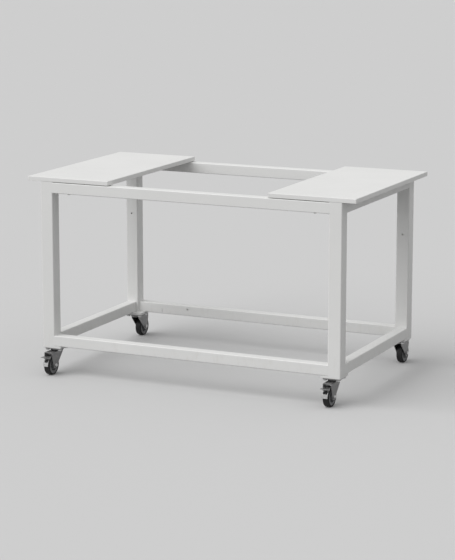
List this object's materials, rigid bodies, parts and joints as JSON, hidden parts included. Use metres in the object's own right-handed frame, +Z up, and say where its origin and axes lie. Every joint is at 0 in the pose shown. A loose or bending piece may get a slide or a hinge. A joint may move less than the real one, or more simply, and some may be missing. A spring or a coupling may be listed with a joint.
{
  "type": "laser cutter stand",
  "caption": "Welded square-tube floor stand on swivel casters with front brakes; two folded steel boards on top leave the middle open under the machine.",
  "frame": {"origin": "on the floor, in the middle of the stand's outer box", "axes": "+X along the width to the right as seen from the front, +Y from front to back, +Z up"},
  "size_m": [1.304, 0.8333, 0.7447],
  "materials": {
    "white_paint": "white powder coat with a fine texture, satin",
    "zinc": "pressed steel, zinc plated, dark grey and a little cloudy",
    "steel": "bright plated steel",
    "pedal_steel": "pressed steel, plated, duller than the bolts",
    "wheel_core": "dark grey moulded plastic",
    "tyre": "black solid tyre, matt"
  },
  "bodies": {
    "frame": {"leg_front_left": "white_paint", "leg_front_right": "white_paint", "leg_rear_left": "white_paint", "leg_rear_right": "white_paint", "top_rail_front": "white_paint", "top_rail_rear": "white_paint", "top_rail_left": "white_paint", "top_rail_right": "white_paint", "bottom_rail_front": "white_paint", "bottom_rail_rear": "white_paint", "bottom_rail_left": "white_paint", "bottom_rail_right": "white_paint", "top_board_left": "white_paint", "top_board_right": "white_paint", "board_screw_front_left": "white_paint", "board_screw_front_right": "white_paint", "board_screw_rear_left": "white_paint", "board_screw_rear_right": "white_paint", "caster_pad_front_left": "white_paint", "front_left_caster_plate": "zinc", "front_left_swivel_race": "zinc", "front_left_kingpin": "steel", "caster_pad_front_right": "white_paint", "front_right_caster_plate": "zinc", "front_right_swivel_race": "zinc", "front_right_kingpin": "steel", "caster_pad_rear_left": "white_paint", "rear_left_caster_plate": "zinc", "rear_left_swivel_race": "zinc", "rear_left_kingpin": "steel", "caster_pad_rear_right": "white_paint", "rear_right_caster_plate": "zinc", "rear_right_swivel_race": "zinc", "rear_right_kingpin": "steel"},
    "front_left_fork": {"front_left_caster_fork": "zinc", "front_left_axle_bolt": "steel", "front_left_axle_nut": "steel", "front_left_axle_sleeve": "steel"},
    "front_left_wheel": {"front_left_wheel_hub": "wheel_core", "front_left_tyre": "tyre"},
    "front_left_pedal": {"front_left_brake_pedal": "pedal_steel"},
    "front_right_fork": {"front_right_caster_fork": "zinc", "front_right_axle_bolt": "steel", "front_right_axle_nut": "steel", "front_right_axle_sleeve": "steel"},
    "front_right_wheel": {"front_right_wheel_hub": "wheel_core", "front_right_tyre": "tyre"},
    "front_right_pedal": {"front_right_brake_pedal": "pedal_steel"},
    "rear_left_fork": {"rear_left_caster_fork": "zinc", "rear_left_axle_bolt": "steel", "rear_left_axle_nut": "steel", "rear_left_axle_sleeve": "steel"},
    "rear_left_wheel": {"rear_left_wheel_hub": "wheel_core", "rear_left_tyre": "tyre"},
    "rear_right_fork": {"rear_right_caster_fork": "zinc", "rear_right_axle_bolt": "steel", "rear_right_axle_nut": "steel", "rear_right_axle_sleeve": "steel"},
    "rear_right_wheel": {"rear_right_wheel_hub": "wheel_core", "rear_right_tyre": "tyre"}
  },
  "joints": [
    {"name": "front_left_swivel", "type": "hinge", "parent": "frame", "child": "front_left_fork", "pos_m": [-0.562, -0.31675, 0.08846], "axis": [0, 0, 1], "continuous": true},
    {"name": "front_left_wheel_spin", "type": "hinge", "parent": "front_left_fork", "child": "front_left_wheel", "pos_m": [-0.562, -0.36075, 0.03726], "axis": [1, 0, 0], "continuous": true},
    {"name": "front_left_brake", "type": "hinge", "parent": "front_left_fork", "child": "front_left_pedal", "pos_m": [-0.562, -0.37959, 0.07424], "axis": [1, 0, 0], "range_deg": [0, 8.5]},
    {"name": "front_right_swivel", "type": "hinge", "parent": "frame", "child": "front_right_fork", "pos_m": [0.562, -0.31675, 0.08846], "axis": [0, 0, 1], "continuous": true},
    {"name": "front_right_wheel_spin", "type": "hinge", "parent": "front_right_fork", "child": "front_right_wheel", "pos_m": [0.562, -0.36075, 0.03726], "axis": [1, 0, 0], "continuous": true},
    {"name": "front_right_brake", "type": "hinge", "parent": "front_right_fork", "child": "front_right_pedal", "pos_m": [0.562, -0.37959, 0.07424], "axis": [1, 0, 0], "range_deg": [0, 8.5]},
    {"name": "rear_left_swivel", "type": "hinge", "parent": "frame", "child": "rear_left_fork", "pos_m": [-0.562, 0.33525, 0.08846], "axis": [0, 0, 1], "continuous": true},
    {"name": "rear_left_wheel_spin", "type": "hinge", "parent": "rear_left_fork", "child": "rear_left_wheel", "pos_m": [-0.562, 0.37925, 0.03726], "axis": [1, 0, 0], "continuous": true},
    {"name": "rear_right_swivel", "type": "hinge", "parent": "frame", "child": "rear_right_fork", "pos_m": [0.562, 0.33525, 0.08846], "axis": [0, 0, 1], "continuous": true},
    {"name": "rear_right_wheel_spin", "type": "hinge", "parent": "rear_right_fork", "child": "rear_right_wheel", "pos_m": [0.562, 0.37925, 0.03726], "axis": [1, 0, 0], "continuous": true}
  ]
}
